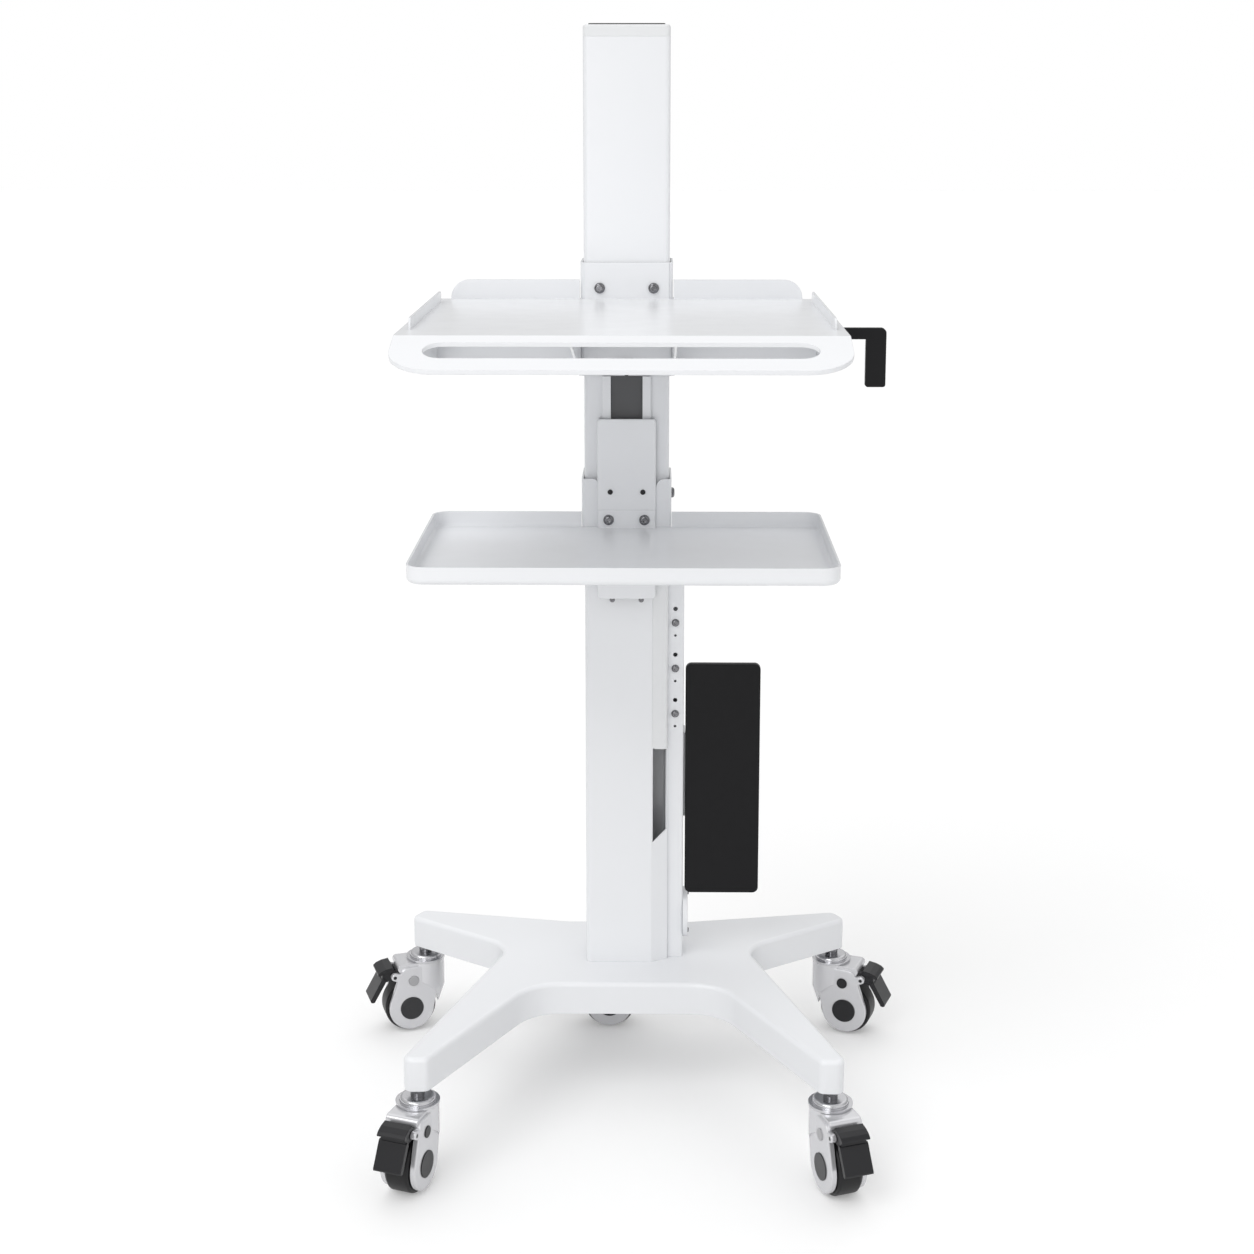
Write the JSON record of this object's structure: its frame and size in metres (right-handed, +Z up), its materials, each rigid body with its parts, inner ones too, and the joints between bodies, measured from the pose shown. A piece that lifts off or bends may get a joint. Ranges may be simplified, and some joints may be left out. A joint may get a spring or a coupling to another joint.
{
  "type": "adjustable equipment trolley",
  "caption": "Wheeled equipment stand: boxed column on a cast base with braked swivel casters, height-adjustable shelf with hand slot and a sliding tray.",
  "frame": {"origin": "middle of the outline on the floor", "axes": "+X to the right of a user who faces the shelf, +Y away from that user, +Z up"},
  "size_m": [0.7744, 0.7122, 1.4405],
  "materials": {
    "base_casting": "white powder coat",
    "white_steel": "white semi-gloss powder coat",
    "black_steel": "black powder coat",
    "steel_screw": "bright steel",
    "dark_screw": "blackened steel",
    "white_plastic": "white moulded plastic",
    "dark_plastic": "dark grey moulded plastic",
    "rail_lining": "mid grey plastic lining",
    "grey_plastic": "light grey moulded plastic",
    "nylon": "nylon",
    "black_rubber": "black rubber",
    "black_tyre": "black tread",
    "bright_cap": "bright plated"
  },
  "bodies": {
    "base": {"base_frame": "base_casting", "foot_bolts": "steel_screw", "column": "white_steel", "corner_strip": "white_plastic", "top_cap": "white_plastic", "top_pad": "black_rubber", "front_rail": "white_steel", "rail_insert": "rail_lining", "side_duct": "white_steel", "duct_screws": "steel_screw", "round_flange": "white_steel", "panel_bracket": "white_steel", "side_panel": "black_steel", "small_screws": "steel_screw", "caster_stems": "steel_screw"},
    "tray_body": {"carriage": "white_steel", "carriage_glides": "nylon", "carriage_screws": "dark_screw", "tray_collar": "white_steel", "clamp_screw": "steel_screw", "lower_tray": "white_steel", "tray_screws": "steel_screw"},
    "shelf_body": {"upper_collar": "white_steel", "upper_liner": "nylon", "upper_shelf": "white_steel", "upper_screws": "steel_screw", "lock_knob": "dark_plastic", "side_hook": "black_steel", "hook_screws": "dark_screw"},
    "front_left_swivel": {"front_left_fork": "grey_plastic", "front_left_bearing_cap": "bright_cap", "front_left_axle_caps": "dark_plastic"},
    "front_left_wheel": {"front_left_wheel_core": "nylon", "front_left_tyre": "black_tyre"},
    "front_left_pedal": {"front_left_brake_pedal": "dark_plastic"},
    "front_right_swivel": {"front_right_fork": "grey_plastic", "front_right_bearing_cap": "bright_cap", "front_right_axle_caps": "dark_plastic"},
    "front_right_wheel": {"front_right_wheel_core": "nylon", "front_right_tyre": "black_tyre"},
    "front_right_pedal": {"front_right_brake_pedal": "dark_plastic"},
    "rear_left_swivel": {"rear_left_fork": "grey_plastic", "rear_left_bearing_cap": "bright_cap", "rear_left_axle_caps": "dark_plastic"},
    "rear_left_wheel": {"rear_left_wheel_core": "nylon", "rear_left_tyre": "black_tyre"},
    "rear_left_pedal": {"rear_left_brake_pedal": "dark_plastic"},
    "rear_right_swivel": {"rear_right_fork": "grey_plastic", "rear_right_bearing_cap": "bright_cap", "rear_right_axle_caps": "dark_plastic"},
    "rear_right_wheel": {"rear_right_wheel_core": "nylon", "rear_right_tyre": "black_tyre"},
    "rear_right_pedal": {"rear_right_brake_pedal": "dark_plastic"},
    "rear_middle_swivel": {"rear_middle_fork": "grey_plastic", "rear_middle_bearing_cap": "bright_cap", "rear_middle_axle_caps": "dark_plastic"},
    "rear_middle_wheel": {"rear_middle_wheel_core": "nylon", "rear_middle_tyre": "black_tyre"},
    "rear_middle_pedal": {"rear_middle_brake_pedal": "dark_plastic"}
  },
  "joints": [
    {"name": "tray_height", "type": "slide", "parent": "base", "child": "tray_body", "axis": [0, 0, 1], "range_m": [0, 0.05]},
    {"name": "shelf_height", "type": "slide", "parent": "base", "child": "shelf_body", "axis": [0, 0, 1], "range_m": [0, 0.25]},
    {"name": "front_left_swivel_turn", "type": "hinge", "parent": "base", "child": "front_left_swivel", "pos_m": [-0.25979, -0.11593, 0.105], "axis": [0, 0, 1], "continuous": true},
    {"name": "front_left_wheel_spin", "type": "hinge", "parent": "front_left_swivel", "child": "front_left_wheel", "pos_m": [-0.26903, -0.14131, 0.0375], "axis": [0.9397, -0.342, 0], "continuous": true},
    {"name": "front_left_brake", "type": "hinge", "parent": "front_left_swivel", "child": "front_left_pedal", "pos_m": [-0.27724, -0.16386, 0.0875], "axis": [0.9397, -0.342, 0], "range_deg": [-3, 9]},
    {"name": "front_right_swivel_turn", "type": "hinge", "parent": "base", "child": "front_right_swivel", "pos_m": [0.26021, -0.11593, 0.105], "axis": [0, 0, 1], "continuous": true},
    {"name": "front_right_wheel_spin", "type": "hinge", "parent": "front_right_swivel", "child": "front_right_wheel", "pos_m": [0.26944, -0.14131, 0.0375], "axis": [0.9397, 0.342, 0], "continuous": true},
    {"name": "front_right_brake", "type": "hinge", "parent": "front_right_swivel", "child": "front_right_pedal", "pos_m": [0.27765, -0.16386, 0.0875], "axis": [0.9397, 0.342, 0], "range_deg": [-3, 9]},
    {"name": "rear_left_swivel_turn", "type": "hinge", "parent": "base", "child": "rear_left_swivel", "pos_m": [-0.29879, 0.32106, 0.105], "axis": [0, 0, 1], "continuous": true},
    {"name": "rear_left_wheel_spin", "type": "hinge", "parent": "rear_left_swivel", "child": "rear_left_wheel", "pos_m": [-0.32432, 0.31227, 0.0375], "axis": [0.3256, -0.9455, 0], "continuous": true},
    {"name": "rear_left_brake", "type": "hinge", "parent": "rear_left_swivel", "child": "rear_left_pedal", "pos_m": [-0.34701, 0.30446, 0.0875], "axis": [0.3256, -0.9455, 0], "range_deg": [-3, 9]},
    {"name": "rear_right_swivel_turn", "type": "hinge", "parent": "base", "child": "rear_right_swivel", "pos_m": [0.29921, 0.32106, 0.105], "axis": [0, 0, 1], "continuous": true},
    {"name": "rear_right_wheel_spin", "type": "hinge", "parent": "rear_right_swivel", "child": "rear_right_wheel", "pos_m": [0.32441, 0.31139, 0.0375], "axis": [0.3584, 0.9336, 0], "continuous": true},
    {"name": "rear_right_brake", "type": "hinge", "parent": "rear_right_swivel", "child": "rear_right_pedal", "pos_m": [0.34682, 0.30279, 0.0875], "axis": [0.3584, 0.9336, 0], "range_deg": [-3, 9]},
    {"name": "rear_middle_swivel_turn", "type": "hinge", "parent": "base", "child": "rear_middle_swivel", "pos_m": [0.00021, 0.32806, 0.105], "axis": [0, 0, 1], "continuous": true},
    {"name": "rear_middle_wheel_spin", "type": "hinge", "parent": "rear_middle_swivel", "child": "rear_middle_wheel", "pos_m": [-0.02679, 0.32806, 0.0375], "axis": [0, -1, 0], "continuous": true},
    {"name": "rear_middle_brake", "type": "hinge", "parent": "rear_middle_swivel", "child": "rear_middle_pedal", "pos_m": [-0.05079, 0.32806, 0.0875], "axis": [0, -1, 0], "range_deg": [-3, 9]}
  ]
}
